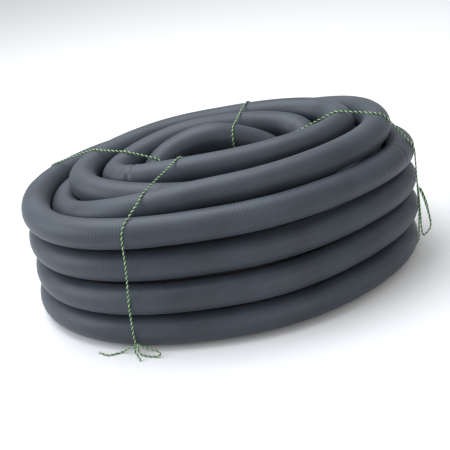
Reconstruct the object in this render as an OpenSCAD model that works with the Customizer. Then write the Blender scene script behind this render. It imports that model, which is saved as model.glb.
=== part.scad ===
// Coil of flexible hose bound with twine ties.
// Frame: origin on the resting face under the middle of the coil, +X along the long axis to the
// right, +Y to the back, +Z up. Millimetres.

/* [Hose] */
// outside diameter of the hose
hose_d = 50; // [46:1:50]
// wall thickness, liner and helix included
wall = 4; // [2:0.5:5]
// length of the straight free end
free_end = 100; // [60:5:110]

/* [Coil] */
// room each turn takes across the coil, against the hose diameter
play = 1.05; // [1.05:0.01:1.08]
// stations along each quarter of a turn
steps = 6; // [5:1:7]

/* [Ties] */
// thickness of the twine
twine_d = 3; // [2:0.5:3.5]
// diameter of a knot
knot_d = 9; // [8:0.5:10]

/* [Hidden] */
hose_r = hose_d/2;
bore_r = hose_r - wall;
twine_r = twine_d/2;
knot_r = knot_d/2;
turn_w = hose_d*play;         // one turn's width: the unit of the lay tables
tie_room = twine_d + .8;      // height of the hose's underside: the ties pass beneath it
lift = tie_room - (play - 1)*hose_r;
coil_shift = [-6.1, 3.7];     // puts the origin under the middle of the coil
straight_run = 45;            // straight hose between the last turn and the free end
end_gap = 0.05;               // parting between the hose and its free end
hose_sides = 12;
bore_sides = hose_sides/2;
twine_sides = 6;
hose_col = "#41464f";
twine_col = "#4a5a48";

// ---- Lay of the coil ----
// The hose is followed from its inner cut end outwards, counter-clockwise seen from above.
// Row: [reach from the middle, height of the centre line, fullness of the quarter turn that
// follows], the first two in turn widths. One row per quarter turn.

// loose turns on top, from the inner end; rows go right, back, left, front
loose = [
    [2.30, 3.40,  .20], [ .70, 4.75,  .04], [2.10, 3.90,  .08], [1.00, 2.90, -.05],
    [3.20, 4.20,  .12], [1.90, 4.60, -.02], [3.35, 4.25, -.03], [1.40, 4.50, -.03],
    [4.40, 4.75,  .08], [3.00, 4.50, -.02], [4.50, 4.28, -.03], [2.45, 4.00, -.03],
    [4.02, 3.56,  .06], [2.25, 3.60,  .04]];

// From here on the rows go left, front, right, back.
// inner column, wound downwards in three layers
inner_column = [for (n = [2:-1:0]) let (z = .5 + 1.02*n) each [
    [4.05, z, .03],
    [2.05, z, -.07],
    [4.10, z, 0],
    [n > 0 ? 2.20 : 3.25, z, .03]]];
// middle column, wound upwards in three layers
middle_column = [for (n = [0:2]) let (z = .5 + 1.03*n) each [
    [5.15, z, .03],
    [3.12, z, -.05],
    [n < 2 ? 5.15 : 5.24, z + .93 + .055*n, n > 0 ? .03 : 0],
    n < 2 ? [3.25, z + 1.03, .03] : [3.40, 3.60, 0]]];
// wide top turn that steps over the middle column
step_over = [[5.20, 3.57, .055], [3.38, 4.47, -.04], [5.60, 4.60, .05], [4.42, 3.76, 0]];
// outer column, wound down to the ground in four layers; each side rises a little differently
front_reach = [4.55, 4.45, 4.20, 4.25];
outer_column = [for (n = [3:-1:0]) each [
    [n > 0 ? 6.20 : 6.30, .5 + 1.10*n, n > 0 ? .05 : .03],
    [front_reach[n], .5 + 1.08*n + (n == 3 ? .1 : 0), n > 0 ? -.05 : -.03],
    [n > 0 ? 6.33 : 6.22, .5 + 1.04*n, n == 1 ? -.02 : .02],
    [4.30, n > 0 ? .70 + 1.025*(n - 1) : .5, .02]]];
lay = concat(loose, inner_column, middle_column, step_over, outer_column, [[6.30, .5, .02]]);
x_reaches = [for (i = [0:2:len(lay) - 1]) lay[i][0]];
y_reaches = [for (i = [1:2:len(lay) - 1]) lay[i][0]];
heights = [for (row = lay) row[1]];

// Places along the hose are counted in quarter turns: left = 0, front = 1, right = 2, back = 3,
// and so on round.
first_row = -2;               // where the first row of the lay is
cut_end = -1.7;
straight_start = 54;
columns_start = first_row + len(loose);
tight_bend = [21.3, 23.2];    // sharp bend on the ground, followed in half steps

// ---- Curves ----
function unit(v) = v/norm(v);
function pick(list, i) = list[min(max(i, 0), len(list) - 1)];
function segment(list, place) = min(max(floor(place), 0), len(list) - 2);
// Catmull-Rom curve from entry i to the next
function spline(list, i, part) =
    let (before = pick(list, i - 1), start = pick(list, i),
         end = pick(list, i + 1), after = pick(list, i + 2))
    0.5*(2*start + (end - before)*part + (2*before - 5*start + 4*end - after)*part*part
        + (3*start - before - 3*end + after)*part*part*part);
function smooth(points, cuts) = concat(
    [for (i = [0:len(points) - 2], j = [0:cuts - 1]) spline(points, i, j/cuts)],
    [points[len(points) - 1]]);

function reach(list, place) = let (i = segment(list, place)) spline(list, i, place - i);
// level wherever the hose stops rising or falling
function slope(before, here, after) =
    (here - before)*(after - here) > 0 ? .325*(after - before) : 0;
function height(place) =
    let (i = segment(heights, place), part = place - i,
         before = pick(heights, i - 1), start = pick(heights, i),
         end = pick(heights, i + 1), after = pick(heights, i + 2))
    start*(2*part*part*part - 3*part*part + 1)
        + slope(before, start, end)*(part*part*part - 2*part*part + part)
        + end*(3*part*part - 2*part*part*part)
        + slope(start, end, after)*(part*part*part - part*part);

// centre line of the hose
function centre(quarter) =
    let (angle = 90*quarter, place = quarter - first_row,
         fullness = 1 + pick(lay, floor(quarter) - first_row)[2]*pow(sin(2*angle), 2))
    [coil_shift[0] - turn_w*reach(x_reaches, place/2)*fullness*cos(angle),
     coil_shift[1] - turn_w*reach(y_reaches, (place - 1)/2)*fullness*sin(angle),
     lift + turn_w*height(place)];
// a station is [centre, first axis, second axis]; on the hose the axes point outwards and up
function station(quarter) =
    let (ahead = unit(centre(quarter + .004) - centre(quarter - .004)),
         side = unit([ahead[1], -ahead[0], 0]))
    [centre(quarter), side, cross(side, ahead)];
function around(stn, angle, radius) = stn[0] + radius*(cos(angle)*stn[1] + sin(angle)*stn[2]);
// a point off the hose's centre line, at angle 0 outwards, 90 up
function touch(quarter, angle, radius) = around(station(quarter), angle, radius);

// ---- Swept skins ----
function ring(stn, radius, sides) = [for (j = [0:sides - 1]) around(stn, 360*j/sides, radius)];
// faces joining successive rings of points, the first point having index first
function skin(sides, rings, first = 0, closed = false, flip = false) =
    [for (i = [0:rings - (closed ? 1 : 2)], j = [0:sides - 1])
        let (here = first + i*sides, ahead = first + ((i + 1)%rings)*sides, k = (j + 1)%sides,
             near = here + j, near_next = here + k, far = ahead + j, far_next = ahead + k)
        each flip ? [[near, far_next, near_next], [near, far, far_next]]
                  : [[near, near_next, far_next], [near, far_next, far]]];
// cut face of the hose, between the outer ring and the bore ring with half as many points
function rim(outer, bore, flip) =
    [for (i = [0:bore_sides - 1])
        let (out_0 = outer + 2*i, out_1 = out_0 + 1, out_2 = outer + (2*i + 2)%hose_sides,
             in_0 = bore + i, in_1 = bore + (i + 1)%bore_sides)
        for (face = [[out_0, out_1, in_0], [out_1, in_1, in_0], [out_1, out_2, in_1]])
            flip ? [face[1], face[0], face[2]] : face];

// ---- Hose ----
module hose() {
    coiled = [for (i = [round((straight_start - cut_end)*steps):-1:0])
        let (quarter = straight_start - i/steps,
             tight = quarter > tight_bend[0] && quarter < tight_bend[1])
        each tight ? [station(quarter), station(quarter + .5/steps)] : [station(quarter)]];
    straight_end = centre(straight_start) + [0, straight_run - end_gap/2, 0];
    line = concat(coiled, [[straight_end, [1, 0, 0], [0, 0, 1]]]);
    rings = len(line);
    // the coarser bore keeps the area of the round one
    coarse_bore_r = bore_r*sqrt(PI/(bore_sides*sin(360/bore_sides)/2));
    bore_first = rings*hose_sides;
    color(hose_col) polyhedron(
        points = concat([for (stn = line) each ring(stn, hose_r, hose_sides)],
                        [for (stn = line) each ring(stn, coarse_bore_r, bore_sides)]),
        faces = concat(
            skin(hose_sides, rings),
            skin(bore_sides, rings, first = bore_first, flip = true),
            rim(0, bore_first, true),
            rim((rings - 1)*hose_sides, bore_first + (rings - 1)*bore_sides, false)));
}

module hose_end() color(hose_col)
    translate(centre(straight_start) + [0, straight_run + end_gap/2, 0])
    rotate([-90, 0, 0])
    difference() {
        cylinder(r = hose_r, h = free_end, $fn = 96);
        translate([0, 0, -1]) cylinder(r = bore_r, h = free_end + 2, $fn = 96);
    }

// ---- Tie planes ----
// Each tie lies in a plane: [point of the plane on the ground in turn widths, compass angle of
// its outward direction, span of quarter turns past a left station in which the turns cross it,
// lean of the plane along the hose]
front_tie = [[-3.60, -4.35], 238, [.2, 1.2], .07];
right_tie = [[6.60, -1.10], -18, [1.3, 2.7], 0];
left_tie  = [[-5.32, 2.00], 149.9, [-.8, .4], 0];
back_tie  = [[1.63, 2.95], 71.8, [-1.4, -.4], 0];

function foot(tie) = [coil_shift[0] + turn_w*tie[0][0], coil_shift[1] + turn_w*tie[0][1], 0];
function outward(tie) = [cos(tie[1]), sin(tie[1]), 0];
function along(tie) = [-sin(tie[1]), cos(tie[1]), 0];
function normal(tie) = unit(along(tie) - [0, 0, tie[3]]);
function rise(tie) = unit(tie[3]*along(tie) + [0, 0, 1]);
// a point of the plane from [outward, height]
function in_plane(tie, spot) = foot(tie) + spot[0]*outward(tie) + spot[1]*rise(tie);

// where a line along the hose crosses the plane between low and high, by halving
function crossing(tie, low, high, angle, radius, halvings = 11) =
    let (middle = (low + high)/2)
    halvings == 0 ? middle :
    (touch(middle, angle, radius) - foot(tie))*normal(tie) < 0
        ? crossing(tie, middle, high, angle, radius, halvings - 1)
        : crossing(tie, low, middle, angle, radius, halvings - 1);
// every place where the centre line crosses the tie
function crossings(tie) =
    [for (n = [floor(cut_end/4):floor(straight_start/4)])
        let (low = 4*n + tie[2][0], high = min(4*n + tie[2][1], straight_start))
        if (low >= cut_end && low < straight_start) crossing(tie, low, high, 0, 0)];

// ---- Taut loops ----
loose_slack = 2.4;            // room between twine and hose on the loose turns
column_slack = 1;             // and on the columns and the turn between them
// [outward, height] of every place the twine's centre line could touch
function touches(tie) =
    [for (quarter = crossings(tie), angle = [0:15:345])
        let (radius = hose_r + twine_r + (quarter < columns_start ? loose_slack : column_slack),
             place = crossing(tie, quarter - .6, quarter + .6, angle, radius),
             arm = touch(place, angle, radius) - foot(tie))
        [arm*outward(tie), arm*rise(tie)]];
// positive where b lies to the left of the line from start to a
function leftness(start, a, b) =
    (a[0] - start[0])*(b[1] - start[1]) - (a[1] - start[1])*(b[0] - start[0]);
// index of the leftmost spot seen from start
function leftmost(spots, start, i = 0, best = -1) =
    i == len(spots) ? best :
    leftmost(spots, start, i + 1,
        norm(spots[i] - start) < .01 ? best :
        best < 0 ? i :
        leftness(start, spots[best], spots[i]) > 0 ? i : best);
function furthest(spots, i = 1, best = 0) =
    i == len(spots) ? best : furthest(spots, i + 1, spots[i][0] > spots[best][0] ? i : best);
// outermost loop round the spots, walked clockwise from spot number first
function wrap(spots, first, path) =
    let (next = leftmost(spots, path[len(path) - 1]))
    next == first || len(path) > 200 ? path : wrap(spots, first, concat(path, [spots[next]]));
function taut(tie) =
    let (spots = touches(tie), first = furthest(spots))
    wrap(spots, first, [spots[first]]);
// the point of the loop's outer side at height z
function on_loop(tie, z) =
    let (path = taut(tie), count = len(path),
         cuts = [for (i = [0:count - 1])
            let (a = path[i], b = path[(i + 1)%count])
            if ((a[1] - z)*(b[1] - z) <= 0 && a[1] != b[1])
                a[0] + (b[0] - a[0])*(z - a[1])/(b[1] - a[1])])
    in_plane(tie, [max(cuts), z]);

// closed twine loop in the plane of the tie
module twine_loop(tie) {
    points = [for (spot = taut(tie)) in_plane(tie, spot)];
    count = len(points);
    function ahead(i) = unit(points[(i + 1)%count] - points[i%count]);
    function mitre(i) = unit(cross(normal(tie), ahead(i) + ahead(i + count - 1)));
    color(twine_col) polyhedron(
        points = [for (i = [0:count - 1])
            each ring([points[i], normal(tie), mitre(i)], twine_r, twine_sides)],
        faces = skin(twine_sides, count, closed = true, flip = true));
}

module tie_front() twine_loop(front_tie);
module tie_right() twine_loop(right_tie);
module tie_left() twine_loop(left_tie);
module tie_back() twine_loop(back_tie);

// ---- Knots ----
// the front knot sits below the outward side of the outermost turn
front_crossings = crossings(front_tie);
front_knot = touch(front_crossings[len(front_crossings) - 1], -28, hose_r + knot_r + .4);
right_knot = on_loop(right_tie, lift + 2.36*turn_w);
left_knot = on_loop(left_tie, lift + 2.10*turn_w);
back_knot = on_loop(back_tie, lift + 1.90*turn_w);

module knot(place) color(twine_col) translate(place) sphere(r = knot_r, $fn = 32);

module tie_front_knot() knot(front_knot);
module tie_right_knot() knot(right_knot);
module tie_left_knot() knot(left_knot);
module tie_back_knot() knot(back_knot);

// ---- Bows and tails ----
// Open twine along a course of [outwards, left seen from outside, up] from the knot.
// across is a direction the twine never runs along.
module twine(tie, knot, course, cuts, across) {
    points = smooth([for (step = course)
        knot + step[0]*outward(tie) - step[1]*along(tie) + [0, 0, step[2]]], cuts);
    count = len(points);
    function ahead(i) = unit(points[min(i + 1, count - 1)] - points[max(i - 1, 0)]);
    color(twine_col) polyhedron(
        points = [for (i = [0:count - 1])
            let (side = unit(cross(ahead(i), across)))
            each ring([points[i], side, cross(side, ahead(i))], twine_r, twine_sides)],
        faces = concat(skin(twine_sides, count),
            [[for (j = [twine_sides - 1:-1:0]) j]],
            [[for (j = [0:twine_sides - 1]) (count - 1)*twine_sides + j]]));
}
module front_twine(course, cuts) twine(front_tie, front_knot, course, cuts, [0, 0, 1]);
module right_twine(course) twine(right_tie, right_knot, course, 4, normal(right_tie));

ground = twine_r + .4 - front_knot[2];  // twine lying on the ground, seen from the front knot

module tie_front_bow() front_twine([
    [3.9, -3, 2.1], [7, -12, 3], [6.5, -28, 1], [4.5, -40, -3], [4, -44.5, -8],
    [6.5, -41, -11.5], [9, -26, ground + .5], [8, -12, ground], [6, -5.5, -9.2],
    [3.4, -2.9, -3.6]], 4);
module tie_front_tail_long() front_twine([
    [3.8, 4.3, 1.2], [7, 13, -4], [8.5, 27, ground + .6], [22, 46, ground + .2],
    [18, 67, ground]], 5);
module tie_front_tail_short() front_twine([
    [5.1, .7, -.9], [10, -1, -1.2], [15, -5, -3], [19, -11, -7], [24, -19, ground + .1]], 4);
module tie_right_bow() right_twine([
    [3.4, 2.2, -3.4], [9, 4.5, -20], [14, 6, -40], [18, 7.5, -62], [18, 8, -76], [12, 8, -86],
    [4, 7, -92], [1.8, 7, -78], [1.6, 6.6, -50], [1.4, 6.4, -24], [1, 4.6, -4.8]]);
module tie_right_tail() right_twine([
    [3.6, -2.6, -3.2], [8, -4, -14], [13, -5, -34], [16, -5, -54], [18.5, -5, -72]]);

hose();
hose_end();
tie_front();
tie_front_knot();
tie_front_bow();
tie_front_tail_long();
tie_front_tail_short();
tie_right();
tie_right_knot();
tie_right_bow();
tie_right_tail();
tie_left();
tie_left_knot();
tie_back();
tie_back_knot();
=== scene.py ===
"""A coil of soft hose, 50 mm across, held by four twine ties.

It lies on the floor at z = 0, with -Y at the front and +X on the right. Seen from above
it winds anticlockwise, from the inner cut end to a free end that runs back (+Y) on the
right. Shapes are worked out in millimetres; meshes, lights and the camera are in metres.
"""
import math

import bpy
import numpy as np
from mathutils import Matrix, Vector


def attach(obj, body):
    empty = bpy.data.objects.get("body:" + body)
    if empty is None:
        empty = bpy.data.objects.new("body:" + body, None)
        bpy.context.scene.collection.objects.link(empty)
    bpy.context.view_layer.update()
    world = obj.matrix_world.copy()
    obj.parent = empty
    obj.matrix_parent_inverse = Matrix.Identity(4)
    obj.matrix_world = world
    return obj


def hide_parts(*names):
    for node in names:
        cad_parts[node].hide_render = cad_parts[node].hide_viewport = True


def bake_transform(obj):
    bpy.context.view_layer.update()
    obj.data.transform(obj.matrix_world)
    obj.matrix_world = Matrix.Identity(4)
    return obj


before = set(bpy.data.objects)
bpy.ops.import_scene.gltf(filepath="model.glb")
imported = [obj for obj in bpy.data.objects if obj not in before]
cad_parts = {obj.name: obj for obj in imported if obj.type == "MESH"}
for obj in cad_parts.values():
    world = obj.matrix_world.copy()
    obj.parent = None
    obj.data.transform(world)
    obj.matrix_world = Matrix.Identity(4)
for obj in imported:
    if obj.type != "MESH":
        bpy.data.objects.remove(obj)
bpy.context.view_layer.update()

HOSE_DIAMETER = 50.0
WALL = 4.0
HOSE_R = HOSE_DIAMETER / 2
BORE_R = HOSE_R - WALL
PLAY = 1.05                             # room each turn takes, against its diameter
LAID_WIDTH = HOSE_DIAMETER * PLAY
SKIN_R = HOSE_R + .35                   # the turns press together and fill part of the play
TWINE_DIAMETER = 3.0
LIFT = TWINE_DIAMETER + .8 - (PLAY - 1) * HOSE_R    # height of the lay's zero level
COIL_CENTRE = (-6.1, 3.7)
FREE_LENGTH = 145.05                    # straight run after the last turn
HELIX_PITCH = 5.5                       # rise of the reinforcing helix per turn
Z_AXIS = np.array([0, 0, 1.])

# ---------------------------------------------------------------- the lay of the coil
# t counts quarter turns: t = -2 is on the right, then back, left, front and so on
T_FIRST, T_START, T_END = -2, -1.7, 54.0

# One station per quarter turn, in laid widths: reach from the centre, height,
# and the share by which the reach swells midway to the next station
STATIONS = [
    (2.30, 3.40, .20), (.70, 4.75, .04), (2.10, 3.90, .08), (1.00, 2.90, -.05),
    (3.20, 4.20, .12), (1.90, 4.60, -.02), (3.35, 4.25, -.03), (1.40, 4.50, -.03),
    (4.40, 4.75, .08), (3.00, 4.50, -.02), (4.50, 4.28, -.03), (2.45, 4.00, -.03),
    (4.02, 3.56, .06), (2.25, 3.60, .04)]
for layer in (2, 1, 0):
    z = .5 + 1.02 * layer
    STATIONS += [(4.05, z, .03), (2.05, z, -.07), (4.10, z, 0),
                 (2.20, z, .03) if layer else (3.25, .5, .03)]
for layer in (0, 1, 2):
    z = .5 + 1.03 * layer
    below_top = layer < 2
    STATIONS += [(5.15, z, .03), (3.12, z, -.05),
                 (5.15 if below_top else 5.24, z + .93 + .055 * layer, .03 if layer else 0),
                 (3.25, z + 1.03, .03) if below_top else (3.40, 3.60, 0)]
STATIONS += [(5.20, 3.57, .055), (3.38, 4.47, -.04), (5.60, 4.60, .05), (4.42, 3.76, 0)]
for layer, back_reach in ((3, 4.25), (2, 4.20), (1, 4.45), (0, 4.55)):
    STATIONS += [
        (6.20, .5 + 1.10 * layer, .05) if layer else (6.30, .5, .03),
        (back_reach, .5 + 1.08 * layer + (.1 if layer == 3 else 0), -.05 if layer else -.03),
        (6.33 if layer else 6.22, .5 + 1.04 * layer, -.02 if layer == 1 else .02),
        (4.30, .70 + 1.025 * (layer - 1) if layer else .5, .02)]
STATIONS += [(6.30, .5, .02)]
STATIONS = np.array(STATIONS)
X_REACH, Y_REACH = STATIONS[0::2, 0], STATIONS[1::2, 0]
HEIGHTS, SWELLS = STATIONS[:, 1], STATIONS[:, 2]


def pick(values, i):
    return values[np.clip(i, 0, len(values) - 1)]


def neighbours(values, u):
    """the four values round u, and how far u lies between the middle two"""
    i = np.clip(np.floor(u).astype(int), 0, len(values) - 2)
    return [pick(values, i + k) for k in (-1, 0, 1, 2)] + [u - i]


def spline(values, u):
    """Catmull-Rom curve through the values"""
    a, b, c, d, f = neighbours(values, u)
    return .5 * (2 * b + (c - a) * f + (2 * a - 5 * b + 4 * c - d) * f * f
                 + (3 * b - a - 3 * c + d) * f ** 3)


def height(u):
    """Hermite curve through the heights that never overshoots a station"""
    a, b, c, d, f = neighbours(HEIGHTS, u)
    slope_b = np.where((b - a) * (c - b) > 0, .325 * (c - a), 0)
    slope_c = np.where((c - b) * (d - c) > 0, .325 * (d - b), 0)
    return (b * (2 * f ** 3 - 3 * f * f + 1) + slope_b * (f ** 3 - 2 * f * f + f)
            + c * (3 * f * f - 2 * f ** 3) + slope_c * (f ** 3 - f * f))


def lay(t):
    """centre of the hose at t"""
    t = np.asarray(t, float)
    u = t - T_FIRST
    phase = t * np.pi / 2
    swell = 1 + pick(SWELLS, np.floor(t).astype(int) - T_FIRST) * np.sin(2 * phase) ** 2
    return np.stack([
        COIL_CENTRE[0] - LAID_WIDTH * spline(X_REACH, u / 2) * swell * np.cos(phase),
        COIL_CENTRE[1] - LAID_WIDTH * spline(Y_REACH, (u - 1) / 2) * swell * np.sin(phase),
        LIFT + LAID_WIDTH * height(u)], -1)


# ---------------------------------------------------------------- paths
def unit(v):
    return v / np.linalg.norm(v, axis=-1, keepdims=True) if False else \
        v / np.linalg.norm(v, axis=-1, keepdims=True)


def arc_lengths(path):
    return np.r_[0, np.cumsum(np.linalg.norm(np.diff(path, axis=0), axis=1))]


def interpolate(x, known_x, points):
    return np.stack([np.interp(x, known_x, points[:, k]) for k in range(3)], -1)


def soften(path, passes, closed=False):
    path = path.copy()
    for _ in range(passes):
        if closed:
            path = .25 * np.roll(path, 1, 0) + .5 * path + .25 * np.roll(path, -1, 0)
        else:
            path[1:-1] = .25 * path[:-2] + .5 * path[1:-1] + .25 * path[2:]
    return path


def resample(path, step, closed):
    if closed:
        path = np.vstack([path, path[:1]])
    lengths = arc_lengths(path)
    count = max(3, int(round(lengths[-1] / step)))
    even = interpolate(np.linspace(0, lengths[-1], count + 1), lengths, path)
    return even[:-1] if closed else even


def directions(path, closed):
    if closed:
        return unit(np.roll(path, -1, 0) - np.roll(path, 1, 0))
    return unit(np.gradient(path, axis=0))


def side_and_up(ahead):
    """across the hose: level towards the outside of the coil, and upwards"""
    side = unit(np.stack([ahead[..., 1], -ahead[..., 0], 0 * ahead[..., 0]], -1))
    return side, np.cross(side, ahead)


# Centre line by arc length: the turns, then the straight free end
turn_t = np.arange(T_START, T_END + 1e-9, 1 / 200.)
turns = lay(turn_t)
last_x, last_y, last_z = turns[-1]
free_run = np.array([[last_x, y, last_z]
                     for y in np.arange(last_y + 1, last_y + FREE_LENGTH + 1e-6, 1.0)])
CENTRE_LINE = soften(np.vstack([turns, free_run]), 6)
LINE_ARC = arc_lengths(CENTRE_LINE)
LINE_T = np.r_[turn_t, T_END + np.arange(1, len(free_run) + 1) / 1000.]
TOTAL = LINE_ARC[-1]


def centre_at(arc):
    return interpolate(arc, LINE_ARC, CENTRE_LINE)


def arc_of(t):
    return float(np.interp(t, LINE_T, LINE_ARC))


def hose_frames(arc):
    reach = 1.5
    ahead = unit(centre_at(np.clip(arc + reach, 0, TOTAL))
                 - centre_at(np.clip(arc - reach, 0, TOTAL)))
    return (ahead, *side_and_up(ahead))


# How tightly the hose bends (1/mm), smoothed, sideways and upwards
BEND_ARC = np.arange(0, TOTAL, 4.0)
bend_ahead, bend_side, bend_up = hose_frames(BEND_ARC)
kernel = np.exp(-.5 * (np.arange(-12, 13) / 5.) ** 2)
kernel /= kernel.sum()
bend = np.gradient(bend_ahead, BEND_ARC, axis=0)
bend = np.stack([np.convolve(bend[:, k], kernel, "same") for k in range(3)], -1)
BEND_SIDE = (bend * bend_side).sum(1)
BEND_UP = (bend * bend_up).sum(1)

# ---------------------------------------------------------------- relief of the hose skin
NOISE = np.random.RandomState(7).rand(4096)
FLATTENING = 1.5                        # how far the section goes oval in a bend
# Wrinkles: relative bend where they start, range to full depth, depth and spacing in mm
WRINKLE_START, WRINKLE_RANGE, WRINKLE_DEPTH, WRINKLE_SPACING = .30, .35, .55, 11.5
CREASE_SKEW = 1.2
CREASE_LIP, CREASE_LIP_AT = .45, 2.4    # raised lips: share of the depth, place in widths
# Creases right round the hose: t, depth, half width (mm)
CREASES = [(4.41, 1.6, 2.4), (4.30, .5, 2.4), (2.17, .6, 2.6), (2.30, .4, 2.2),
           (41.76, .5, 2.4), (41.62, .35, 2.2), (3.72, .4, 2.2)]


def smooth_noise(x):
    i = np.floor(x).astype(int)
    f = x - i
    f = f * f * (3 - 2 * f)
    return NOISE[i % 4096] * (1 - f) + NOISE[(i + 1) % 4096] * f - .5


def skin_relief(arc, angle):
    """offset from the skin radius, one row per arc length and one column per angle"""
    arc, angle = arc[:, None], angle[None]
    side = np.interp(arc, BEND_ARC, BEND_SIDE)
    up = np.interp(arc, BEND_ARC, BEND_UP)
    inward = side * np.cos(angle) + up * np.sin(angle)    # above 0 inside the bend
    tightness = np.sqrt(side * side + up * up)
    relief = -(tightness * HOSE_R) * FLATTENING * ((inward / (tightness + 1e-9)) ** 2 - .5)
    wrinkling = np.clip((inward * HOSE_R - WRINKLE_START) / WRINKLE_RANGE, 0, 1) ** 1.5
    phase = arc / WRINKLE_SPACING + .35 * smooth_noise(arc / 23.)
    relief += wrinkling * WRINKLE_DEPTH * np.sin(2 * np.pi * phase)
    # slow unevenness along the hose, and round it
    relief += (.35 * smooth_noise(arc / 61.)
               + .22 * smooth_noise(arc / 37. + 3 * np.cos(angle) + 91))
    for t, depth, width in CREASES:
        q = (arc - arc_of(t) - CREASE_SKEW * np.sin(angle * 2 + t)) / width
        relief -= depth * np.exp(-.5 * q * q)
        relief += CREASE_LIP * depth * np.exp(-.5 * (np.abs(q) - CREASE_LIP_AT) ** 2)
    return relief


# ---------------------------------------------------------------- meshes
def new_mesh(name, points, faces, smooth=True):
    """object from points in mm"""
    mesh = bpy.data.meshes.new(name)
    mesh.from_pydata((np.asarray(points) / 1000.).tolist(), [], faces)
    mesh.update()
    if smooth:
        mesh.polygons.foreach_set("use_smooth", [True] * len(mesh.polygons))
    return link_object(name, mesh)


def link_object(name, data):
    obj = bpy.data.objects.new(name, data)
    bpy.context.scene.collection.objects.link(obj)
    return obj


def add_attribute(obj, name, values, kind="FLOAT", field="value"):
    attribute = obj.data.attributes.new(name, kind, "POINT")
    attribute.data.foreach_set(field, values.astype(np.float32).ravel())


def ring_angles(segments):
    return np.arange(segments) * 2 * np.pi / segments


def ring_points(centres, radii, angle, side, up):
    """one ring of points round each centre"""
    return centres[:, None] + radii[..., None] * (
        np.cos(angle)[None, :, None] * side[:, None]
        + np.sin(angle)[None, :, None] * up[:, None])


def tube_quads(rings, segments, base=0, closed=False):
    i = np.arange(rings if closed else rings - 1)[:, None]
    j = np.arange(segments)[None]
    here = base + i * segments
    beyond = base + (i + 1) % rings * segments
    following = (j + 1) % segments
    return np.stack([here + j, here + following, beyond + following, beyond + j],
                    -1).reshape(-1, 4)


def cut_end_rings(cut, arc, centre, ahead, side, up, skin_radii, angle):
    """the rim of a cut end (three rings) and the bore behind it"""
    flat = np.ones(len(angle))
    rim_radii = np.array([skin_radii - .9, flat * (BORE_R + 1.0), flat * (BORE_R + .2)])
    rim_centres = centre + cut * ahead * np.array([0, .1, -.4])[:, None]
    rim = ring_points(rim_centres, rim_radii, angle, side[None], up[None])
    ribs = np.arange(4.0, 140.0, 4.0)
    bore_arc = arc - cut * np.r_[1.2, ribs]
    bore_radii = BORE_R + .12 * np.r_[0, np.where(np.arange(len(ribs)) % 2, 1, -1)]
    _, bore_side, bore_up = hose_frames(bore_arc)
    bore = ring_points(centre_at(bore_arc), bore_radii[:, None], angle, bore_side, bore_up)
    return np.vstack([rim, bore])


def hose_piece(name, start, end, step, segments, cut=0):
    """skin between two arc lengths; cut is -1 or 1 where the start or end is a cut end"""
    count = max(2, int(round((end - start) / step)) + 1)
    arc = np.linspace(start, end, count)
    angle = ring_angles(segments)
    radii = SKIN_R + skin_relief(arc, angle)
    ahead, side, up = hose_frames(arc)
    centres = centre_at(arc)
    points = ring_points(centres, radii, angle, side, up).reshape(-1, 3)
    faces = tube_quads(count, segments)[:, ::-1].tolist()
    ring_arc, ring_part = arc, np.zeros(count)      # part: 0 skin, .5 rim, 1 bore
    tip_value, tip_part = [], []
    if cut:
        i = 0 if cut < 0 else count - 1
        rings = cut_end_rings(cut, arc[i], centres[i], ahead[i], side[i], up[i],
                              radii[i], angle)
        extra = len(rings)
        # the last point closes the far end of the bore
        points = np.vstack([points, rings.reshape(-1, 3), rings[-1].mean(0)[None]])
        first, base = i * segments, count * segments
        tip = base + extra * segments
        j = np.arange(segments)
        following = (j + 1) % segments
        join = np.stack([first + j, first + following, base + following, base + j], -1)
        quads = np.vstack([join, tube_quads(extra, segments, base)])
        fan = np.stack([tip - segments + j, tip - segments + following,
                        np.full(segments, tip)], -1)
        turned = -cut                               # an end cut faces the other way
        faces += quads[:, ::turned].tolist() + fan[:, ::turned].tolist()
        ring_arc = np.r_[arc, arc[i] + 300 + 3 * np.arange(extra)]
        ring_part = np.r_[ring_part, [.5] * 3, np.ones(extra - 3)]
        tip_value, tip_part = [0.], [1.]
    obj = new_mesh(name, points, faces)
    turn = np.r_[np.tile(angle / (2 * np.pi), len(ring_arc)), tip_value]
    add_attribute(obj, "arc", np.r_[np.repeat(ring_arc, segments), tip_value])
    add_attribute(obj, "turn", turn)
    add_attribute(obj, "part", np.r_[np.repeat(ring_part, segments), tip_part])
    # direction round the tube as a vector, without a seam
    around = turn * 2 * np.pi
    add_attribute(obj, "round", np.stack([np.cos(around), np.sin(around), 0 * around], -1),
                  kind="FLOAT_VECTOR", field="vector")
    return obj


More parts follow.
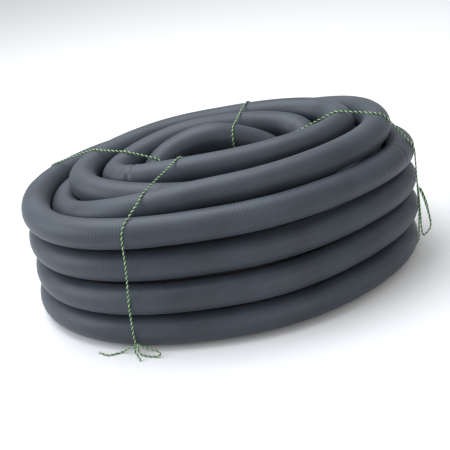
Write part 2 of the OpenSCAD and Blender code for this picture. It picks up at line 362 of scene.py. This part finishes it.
# ---------------------------------------------------------------- materials
class Nodes:
    """the emptied node tree of a material or world"""

    def __init__(self, owner):
        owner.use_nodes = True
        self.tree = owner.node_tree
        self.tree.nodes.clear()

    def fill(self, node, inputs):
        """link or set inputs, given by name or index"""
        for key, value in inputs.items():
            if isinstance(value, bpy.types.NodeSocket):
                self.tree.links.new(value, node.inputs[key])
            else:
                node.inputs[key].default_value = value

    def add(self, kind, inputs={}, **settings):
        node = self.tree.nodes.new("ShaderNode" + kind)
        for key, value in settings.items():
            setattr(node, key, value)
        self.fill(node, inputs)
        return node

    def math(self, operation, *values, clamp=False):
        return self.add("Math", dict(enumerate(values)), operation=operation,
                        use_clamp=clamp).outputs[0]

    def plus(self, base, value, gain):
        return self.math("ADD", base, self.math("MULTIPLY", value, gain))

    def attribute(self, name):
        return self.add("Attribute", attribute_name=name).outputs["Fac"]

    def noise(self, coords, scale, detail):
        return self.add("TexNoise", {"Scale": scale, "Detail": detail,
                                     "Vector": coords}).outputs["Fac"]

    def ramp(self, factor, *stops):
        node = self.add("ValToRGB", {"Fac": factor})
        for element, (position, color) in zip(node.color_ramp.elements, stops):
            element.position = position
            element.color = color
        return node.outputs[0]

    def mix(self, factor, base, over):
        return self.add("Mix", {0: factor, 6: base, 7: over}, data_type="RGBA").outputs[2]

    def bump(self, height, distance, strength):
        return self.add("Bump", {"Distance": distance, "Strength": strength,
                                 "Height": height}).outputs[0]


def principled(name):
    material = bpy.data.materials.new(name)
    nodes = Nodes(material)
    output = nodes.add("OutputMaterial")
    surface = nodes.add("BsdfPrincipled")
    nodes.fill(output, {0: surface.outputs[0]})
    return material, nodes, surface


def hose_material():
    material, nodes, surface = principled("hose_pvc")
    turns_along = nodes.math("DIVIDE", nodes.attribute("arc"), HELIX_PITCH)
    phase = nodes.math("ADD", turns_along, nodes.attribute("turn"))
    wave = nodes.math("COSINE", nodes.math("MULTIPLY", phase, 2 * math.pi))
    coords = nodes.add("TexCoord").outputs["Object"]
    mottle = nodes.noise(coords, scale=14, detail=4)
    grain = nodes.noise(coords, scale=420, detail=3)
    patches = nodes.noise(coords, scale=7, detail=1)

    # the helix comes and goes in patches
    patch_level, patch_contrast = .42, 4.0
    helix_gain, helix_least = .85, .08
    shown = nodes.math("SUBTRACT", patches, patch_level, clamp=True)
    shown = nodes.math("MULTIPLY", shown, patch_contrast, clamp=True)
    shown = nodes.math("ADD", nodes.math("MULTIPLY", shown, helix_gain), helix_least)
    helix = nodes.math("MULTIPLY", wave, shown)
    color = nodes.ramp(nodes.plus(mottle, helix, gain=.16),
                       (.25, (.022, .028, .036, 1)), (.78, (.038, .048, .062, 1)))

    # painted top light: a lighter, bluish colour on the faces that look up, in patches set by
    # the mottle
    top_light_amount = .16
    top_light_color = (.105, .14, .18, 1)
    normal = nodes.add("NewGeometry").outputs["Normal"]
    facing_up = nodes.add("SeparateXYZ", {0: normal}).outputs["Z"]
    painted_top_light = nodes.math("MULTIPLY", facing_up, mottle, clamp=True)
    painted_top_light = nodes.math("MULTIPLY", painted_top_light, top_light_amount, clamp=True)
    color = nodes.mix(painted_top_light, color, top_light_color)

    # the cut rim and the bore are plainer
    liner_color = (.040, .043, .050, 1)
    color = nodes.mix(nodes.attribute("part"), color, liner_color)
    least_roughness = .40
    roughness = nodes.plus(least_roughness, mottle, gain=.20)
    roughness = nodes.plus(roughness, helix, gain=.03)
    relief = nodes.plus(helix, grain, gain=.28)
    nodes.fill(surface, {
        "Base Color": color, "Roughness": roughness, "Specular IOR Level": .36,
        "Sheen Weight": .05, "Sheen Roughness": .5,
        "Normal": nodes.bump(relief, distance=.0003, strength=.30)})
    return material


def twine_material(name, dark, light, sheen):
    material, nodes, surface = principled(name)
    coords = nodes.add("TexCoord").outputs["Object"]
    # fine fibres winding round the ply
    fibres_per_mm, fibres_per_turn = 2.1, 6.0
    along = nodes.math("MULTIPLY", nodes.attribute("arc"), fibres_per_mm)
    phase = nodes.plus(along, nodes.attribute("turn"), gain=fibres_per_turn)
    fibres = nodes.math("SINE", nodes.math("MULTIPLY", phase, 2 * math.pi))
    fuzz = nodes.plus(nodes.noise(coords, scale=260, detail=5), fibres, gain=.16)
    nodes.fill(surface, {
        "Base Color": nodes.ramp(fuzz, (.32, dark), (.70, light)), "Roughness": .82,
        "Sheen Weight": sheen, "Specular IOR Level": .25,
        "Normal": nodes.bump(fuzz, distance=.0002, strength=.7)})
    return material


HOSE = hose_material()
GREEN = twine_material("twine_green", dark=(.20, .36, .15, 1), light=(.50, .74, .40, 1),
                       sheen=.35)
BLACK = twine_material("twine_black", dark=(.008, .010, .008, 1),
                       light=(.040, .048, .036, 1), sheen=.15)

# ---------------------------------------------------------------- the hose
RING_STEP = 2.75
turn_step = RING_STEP * 1
middle_arc = arc_of(23.6)
split_arc = arc_of(T_END) - 260.0
inner_turns = hose_piece("hose_inner_turns", 0.0, middle_arc + 1, turn_step, 24, cut=-1)
outer_turns = hose_piece("hose_outer_turns", middle_arc, split_arc + 1, turn_step, 24)
free_end = hose_piece("hose_free_end", split_arc, TOTAL - .9, RING_STEP, 32, cut=1)
for piece in (inner_turns, outer_turns, free_end):
    piece.data.materials.append(HOSE)
for piece in (inner_turns, outer_turns):
    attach(piece, "coil")
    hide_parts("hose")
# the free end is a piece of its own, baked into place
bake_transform(free_end)
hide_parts("hose_end")


# ---------------------------------------------------------------- taut loops of the ties
class Tie:
    """A tie's plane: foot in plan (laid widths), plan angle of its outward axis (degrees),
    the t, counted from each left station, between which the hose crosses it, and its lean"""

    def __init__(self, foot, angle, window, lean):
        angle = math.radians(angle)
        self.foot = np.array([COIL_CENTRE[0] + LAID_WIDTH * foot[0],
                              COIL_CENTRE[1] + LAID_WIDTH * foot[1], 0.])
        self.out = np.array([math.cos(angle), math.sin(angle), 0.])
        self.along = np.array([-math.sin(angle), math.cos(angle), 0.])
        self.normal = unit(self.along - lean * Z_AXIS)
        self.rise = unit(lean * self.along + Z_AXIS)
        self.window = window

    def flatten(self, points):
        """distances outwards and up in the plane"""
        return np.stack([(points - self.foot) @ self.out, (points - self.foot) @ self.rise], -1)


TIES = {"front": Tie((-3.60, -4.35), 238., (.2, 1.2), .07),
        "right": Tie((6.60, -1.10), -18., (1.3, 2.7), 0.),
        "left": Tie((-5.32, 2.00), 149.9, (-.8, .4), 0.),
        "back": Tie((1.63, 2.95), 71.8, (-1.4, -.4), 0.)}


def hose_point(t, angle, radius):
    side, up = side_and_up(unit(lay(t + .004) - lay(t - .004)))
    return lay(t) + radius * (np.cos(angle)[..., None] * side + np.sin(angle)[..., None] * up)


def meet_plane(tie, low, high, angle, radius):
    """t at which lines along the hose pass the tie's plane, by halving"""
    low = np.array(low, float)
    high = np.array(high, float)
    for _ in range(16):
        middle = (low + high) / 2
        before = ((hose_point(middle, angle, radius) - tie.foot) @ tie.normal) < 0
        low = np.where(before, middle, low)
        high = np.where(before, high, middle)
    return (low + high) / 2


def crossings(tie):
    opens, closes = tie.window
    low = [4 * k + opens for k in range(-1, 14)]
    low = [t for t in low if T_START <= t < T_END]
    high = [min(t - opens + closes, T_END) for t in low]
    return meet_plane(tie, low, high, np.zeros(len(low)), 0.)


def convex_hull(points):
    points = sorted(set((round(x, 4), round(z, 4)) for x, z in points))

    def half(ordered):
        kept = []
        for p in ordered:
            while len(kept) > 1 and ((kept[-1][0] - kept[-2][0]) * (p[1] - kept[-2][1])
                                     - (kept[-1][1] - kept[-2][1]) * (p[0] - kept[-2][0])) <= 0:
                kept.pop()
            kept.append(p)
        return kept[:-1]
    return np.array(half(points) + half(points[::-1]))


def taut_loop(tie, radius):
    """shortest loop round every crossing of the hose, this far from its centre line"""
    angles = np.radians(np.arange(0, 360, 6.))
    crossing_t = crossings(tie)
    t = np.repeat(crossing_t, len(angles))
    angle = np.tile(angles, len(crossing_t))
    t = meet_plane(tie, t - .6, t + .6, angle, radius)
    hull = convex_hull(tie.flatten(hose_point(t, angle, radius)))
    return tie.foot + hull[:, :1] * tie.out + hull[:, 1:] * tie.rise


def on_loop(name, widths_up):
    """outermost point of a taut loop at a height in laid widths"""
    tie = TIES[name]
    z = LIFT + widths_up * LAID_WIDTH
    flat = tie.flatten(taut_loop(tie, HOSE_R + TWINE_DIAMETER / 2 + 1))
    reach = max(a[0] + (b[0] - a[0]) * (z - a[1]) / (b[1] - a[1])
                for a, b in zip(flat, np.roll(flat, -1, 0))
                if (a[1] - z) * (b[1] - z) <= 0 and a[1] != b[1])
    return tie.foot + reach * tie.out + z * tie.rise


KNOT_R = 4.5
KNOTS = {"front": hose_point(np.array(crossings(TIES["front"])[-1]),
                             np.array(math.radians(-28.)), HOSE_R + KNOT_R + .4),
         "right": on_loop("right", 2.36),
         "left": on_loop("left", 2.10),
         "back": on_loop("back", 1.90)}

# ---------------------------------------------------------------- twine
TWINE_R = 1.62                          # with its loose fibres
PLY_SEGMENTS = 7
FRAY_LENGTH, FRAY_SPREAD, FRAY_THINNING = 6.0, 1.1, .45


def carried_normals(ahead):
    """a sideways direction carried along the path without twist"""
    normals = np.zeros_like(ahead)
    reference = Z_AXIS if abs(ahead[0][2]) < .9 else np.array([1., 0, 0])
    normals[0] = unit(np.cross(np.cross(ahead[0], reference), ahead[0]))
    for i in range(1, len(ahead)):
        normals[i] = unit(normals[i - 1] - ahead[i] * (normals[i - 1] @ ahead[i]))
    return normals


def cord(name, path, closed, body, replaced, radius=TWINE_R, pitch=8.5, frayed=False):
    """twine of one green and one black ply twisted together; frayed opens its far end"""
    path = resample(path, .95, closed)
    count = len(path)
    ahead = directions(path, closed)
    side = carried_normals(ahead)
    up = np.cross(ahead, side)
    arc = arc_lengths(path)
    full = arc[-1] + (np.linalg.norm(path[0] - path[-1]) if closed else 0)
    twists = full / pitch
    miss = 0.
    if closed:
        twists = round(twists)
        # angle by which the carried frame misses itself
        last = unit(side[-1] - ahead[0] * (side[-1] @ ahead[0]))
        miss = math.atan2(float(np.cross(side[0], last) @ ahead[0]), float(side[0] @ last))
    ply_radius = radius * .53
    opening = np.zeros(count)
    if frayed:
        opening = np.clip((arc - (full - FRAY_LENGTH)) / FRAY_LENGTH, 0, 1)
    spread = radius * .50 + opening ** 2 * FRAY_SPREAD
    radii = ply_radius * (1 - FRAY_THINNING * opening)
    angle = ring_angles(PLY_SEGMENTS)
    points, faces, slots = [], [], []
    for ply in range(2):
        twist = 2 * np.pi * (twists * arc / full + ply / 2) - miss * arc / full
        centres = path + spread[:, None] * (np.cos(twist)[:, None] * side
                                            + np.sin(twist)[:, None] * up)
        centres[:, 2] = np.maximum(centres[:, 2], ply_radius + .05)     # stay off the floor
        ply_ahead = directions(centres, closed)
        ply_side = unit(side - ply_ahead * (side * ply_ahead).sum(1)[:, None])
        rings = ring_points(centres, radii[:, None], angle, ply_side,
                            np.cross(ply_ahead, ply_side))
        points.append(rings.reshape(-1, 3))
        base = ply * count * PLY_SEGMENTS
        ply_faces = tube_quads(count, PLY_SEGMENTS, base, closed).tolist()
        if not closed:
            first = list(range(base, base + PLY_SEGMENTS))
            ply_faces += [first[::-1], [k + (count - 1) * PLY_SEGMENTS for k in first]]
        faces += ply_faces
        slots += [ply] * len(ply_faces)
    obj = new_mesh(name, np.vstack(points), faces)
    obj.data.materials.append(GREEN)
    obj.data.materials.append(BLACK)
    obj.data.polygons.foreach_set("material_index", slots)
    add_attribute(obj, "arc", np.tile(np.repeat(arc, PLY_SEGMENTS), 2))
    add_attribute(obj, "turn", np.tile(angle / (2 * np.pi), 2 * count))
    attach(obj, body)
    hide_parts(replaced)


def tie_path(name, tie):
    path = resample(taut_loop(tie, HOSE_R + TWINE_DIAMETER / 2 + .45), 2.0, True)
    from_knot = np.linalg.norm(path - KNOTS[name], axis=1)
    if name == "front":
        # the loop bends out to its knot
        pull = .8 * np.exp(-.5 * (from_knot / 12.) ** 2)[:, None]
        path = path + (KNOTS[name] - path[from_knot.argmin()]) * pull
    # it wanders a little from its plane, away from the knot
    arc = arc_lengths(path)
    round_loop = 2 * np.pi * arc / arc[-1]
    wander = 1.1 * np.sin(round_loop * 3 + len(name)) + .7 * np.sin(round_loop * 7 + 2)
    path = path + tie.normal * wander[:, None] * np.clip(from_knot / 25., 0, 1)[:, None]
    return soften(path, 2, True)


def knot_path(centre, tie, size=2.9):
    """an overhand knot: a trefoil lying against the hose"""
    a = np.linspace(0, 2 * np.pi, 60, endpoint=False)[:, None]
    return centre + size / 3.0 * ((np.sin(a) + 2 * np.sin(2 * a)) * tie.normal
                                  + (np.cos(a) - 2 * np.cos(2 * a)) * Z_AXIS
                                  - .9 * np.sin(3 * a) * tie.out)


for name, tie in TIES.items():
    cord(f"tie_{name}_twine", tie_path(name, tie), True, "coil", f"tie_{name}")
    cord(f"tie_{name}_tied_knot", knot_path(KNOTS[name], tie), True, "coil",
         f"tie_{name}_knot", radius=1.35, pitch=7.5)

# Bows and tails: tie, part, last word of the name, and points from the knot in mm
# (outwards, against the tie's level along axis, up)
floor_z = TWINE_DIAMETER / 2 + .4 - KNOTS["front"][2]     # twine lying on the floor
STRANDS = [
    ("front", "bow", "loop", [
        (3.1, -2.4, 1.7), (3.9, -3, 2.1), (7, -12, 3), (6.5, -28, 1), (4.5, -40, -3),
        (4, -44.5, -8), (6.5, -41, -11.5), (9, -26, floor_z + .5), (8, -12, floor_z),
        (6, -5.5, -9.2), (3.4, -2.9, -3.6), (2.7, -2.3, -2.8)]),
    ("front", "tail_long", "twine", [
        (3.1, 3.5, 1), (3.8, 4.3, 1.2), (7, 13, -4), (8.5, 27, floor_z + .6),
        (22, 46, floor_z + .2), (18, 67, floor_z)]),
    ("front", "tail_short", "twine", [
        (4.1, .55, -.7), (5.1, .7, -.9), (10, -1, -1.2), (15, -5, -3), (19, -11, -7),
        (24, -19, floor_z + .1)]),
    ("right", "bow", "loop", [
        (2.2, 1.4, -2), (3.4, 2.2, -3.4), (9, 4.5, -20), (14, 6, -40), (18, 7.5, -62),
        (18, 8, -76), (12, 8, -86), (4, 7, -92), (1.8, 7, -78), (1.6, 6.6, -50),
        (1.4, 6.4, -24), (1, 4.6, -4.8), (.6, 2.8, -2.4)]),
    ("right", "tail", "twine", [
        (3.2, -2.3, -2.8), (3.6, -2.6, -3.2), (8, -4, -14), (13, -5, -34), (16, -5, -54),
        (18.5, -5, -72)])]


def strand_path(name, rows):
    tie = TIES[name]
    points = KNOTS[name] + np.array(rows, float) @ np.array([tie.out, -tie.along, Z_AXIS])
    u = np.arange(8 * (len(rows) - 1) + 1) / 8
    return np.stack([spline(points[:, k], u) for k in range(3)], -1)


for name, part, ending, rows in STRANDS:
    body = f"{name}_{part}"
    cord(f"tie_{body}_{ending}", strand_path(name, rows), False, body, f"tie_{body}",
         frayed=part != "bow")

# the CAD nodes get the same materials
for name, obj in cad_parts.items():
    material = HOSE if name.startswith("hose") else GREEN
    if len(obj.data.materials):
        for i in range(len(obj.data.materials)):
            obj.data.materials[i] = material
    else:
        obj.data.materials.append(material)


# ---------------------------------------------------------------- floor, light, camera
def build_floor(half=40000):
    floor = new_mesh("floor", [(-half, -half, 0), (half, -half, 0), (half, half, 0),
                               (-half, half, 0)], [(0, 1, 2, 3)], smooth=False)
    material, nodes, surface = principled("floor_pale")
    nodes.fill(surface, {"Base Color": (.80, .80, .80, 1), "Roughness": .9,
                         "Specular IOR Level": .1})
    floor.data.materials.append(material)


def build_world():
    """soft fill light, with plain white where the camera sees past the floor"""
    world = bpy.data.worlds.new("studio")
    bpy.context.scene.world = world
    nodes = Nodes(world)
    output = nodes.add("OutputWorld")
    white = (1, 1, 1, 1)
    fill = nodes.add("Background", {"Color": white, "Strength": .62})
    seen = nodes.add("Background", {"Color": white, "Strength": 1.0})
    camera_ray = nodes.add("LightPath").outputs["Is Camera Ray"]
    mix = nodes.add("MixShader", {0: camera_ray, 1: fill.outputs[0], 2: seen.outputs[0]})
    nodes.fill(output, {0: mix.outputs[0]})


def area_light(name, place, target, size, power, color):
    light = bpy.data.lights.new(name, "AREA")
    light.shape = "RECTANGLE"
    light.size, light.size_y = size
    light.energy = power
    light.color = color
    obj = link_object(name, light)
    obj.location = place
    aim = Vector(target) - Vector(place)
    obj.rotation_euler = aim.to_track_quat("-Z", "Y").to_euler()


def build_camera():
    elevation, azimuth, roll = (math.radians(a) for a in (23.99, 2.242, 9.192))
    distance = 34.462                   # laid widths
    width = LAID_WIDTH / 1000.
    target = Vector((COIL_CENTRE[0] / 1000., COIL_CENTRE[1] / 1000.,
                     2.5 * width + LIFT / 1000.))
    view = Vector((math.sin(azimuth) * math.cos(elevation),
                   math.cos(azimuth) * math.cos(elevation), -math.sin(elevation)))
    level = view.cross(Vector((0, 0, 1))).normalized()
    upright = level.cross(view)
    right = math.cos(roll) * level - math.sin(roll) * upright
    up = math.sin(roll) * level + math.cos(roll) * upright
    pose = Matrix((right, up, -view)).transposed().to_4x4()
    pose.translation = target - view * distance * width
    camera = bpy.data.cameras.new("camera")
    obj = link_object("camera", camera)
    obj.matrix_world = pose
    camera.sensor_width = 36
    camera.sensor_fit = "HORIZONTAL"
    camera.lens = 79.53504
    camera.shift_x = .0067466667
    camera.shift_y = -.0455711111
    bpy.context.scene.camera = obj


build_floor()
build_world()
area_light("key_top", place=(-.5, .5, 2.2), target=(0, 0, .15), size=(2.2, 1.8), power=60,
           color=(.95, .99, 1.05))
area_light("left", place=(-2.2, -.3, 1.1), target=(0, 0, .15), size=(1.4, 1.4), power=30,
           color=(.91, .985, 1.08))
area_light("front", place=(1.0, -2.5, 1.0), target=(0, 0, .1), size=(1.8, 1.2), power=13,
           color=(.98, .99, 1.02))
bpy.context.scene.view_settings.view_transform = "Standard"
build_camera()
